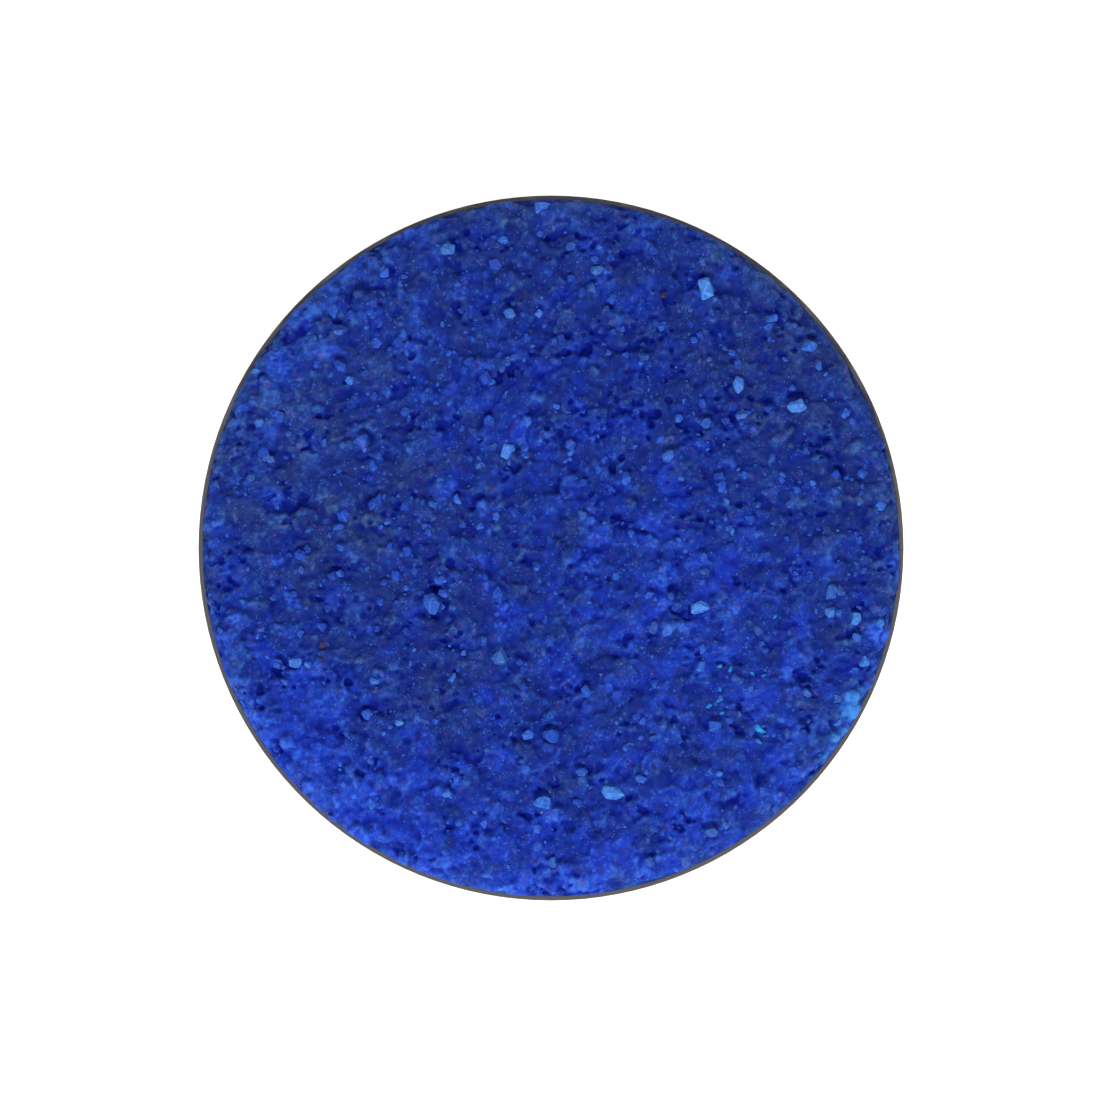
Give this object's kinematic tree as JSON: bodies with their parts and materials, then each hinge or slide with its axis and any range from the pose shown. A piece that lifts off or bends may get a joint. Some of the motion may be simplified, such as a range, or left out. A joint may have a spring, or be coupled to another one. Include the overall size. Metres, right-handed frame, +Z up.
{
  "type": "disc air stone",
  "caption": "Round disc air stone: blue porous mineral disc in a shallow dark grey housing on suction-cup feet, with a swivelling barbed air inlet underneath.",
  "frame": {"origin": "on the tank floor, under the middle of the disc", "axes": "+Z up through the disc's face, the barb points along -Y at rest, +X to the right as seen from above with +Y at the top"},
  "size_m": [0.1, 0.1, 0.0286],
  "materials": {
    "blue_mineral": "rough porous bonded mineral grains with small crystals",
    "housing_plastic": "fine moulded texture",
    "sealant": "cured silicone sealant, satin",
    "coated_iron": "epoxy coated",
    "steel": "stainless, plain",
    "soft_vinyl": "soft clear vinyl, glossy",
    "elbow_plastic": "off-white acetal, satin",
    "black_rubber": "lubricated nitrile rubber",
    "washer_plastic": "plain low-friction plastic"
  },
  "bodies": {
    "housing": {"mineral_disc": "blue_mineral", "housing_pan": "housing_plastic", "edge_seal": "sealant", "ballast_ring": "coated_iron", "base_cover": "housing_plastic", "cover_screws": "steel", "suction_cup_1": "soft_vinyl", "suction_cup_2": "soft_vinyl", "suction_cup_3": "soft_vinyl", "suction_cup_4": "soft_vinyl"},
    "inlet": {"inlet_elbow": "elbow_plastic", "o_ring_lower": "black_rubber", "o_ring_upper": "black_rubber", "thrust_washer": "washer_plastic", "retaining_clip": "steel"}
  },
  "joints": [
    {"name": "elbow_swivel", "type": "hinge", "parent": "housing", "child": "inlet", "pos_m": [0, 0, 0.012], "axis": [0, 0, 1], "continuous": true}
  ]
}
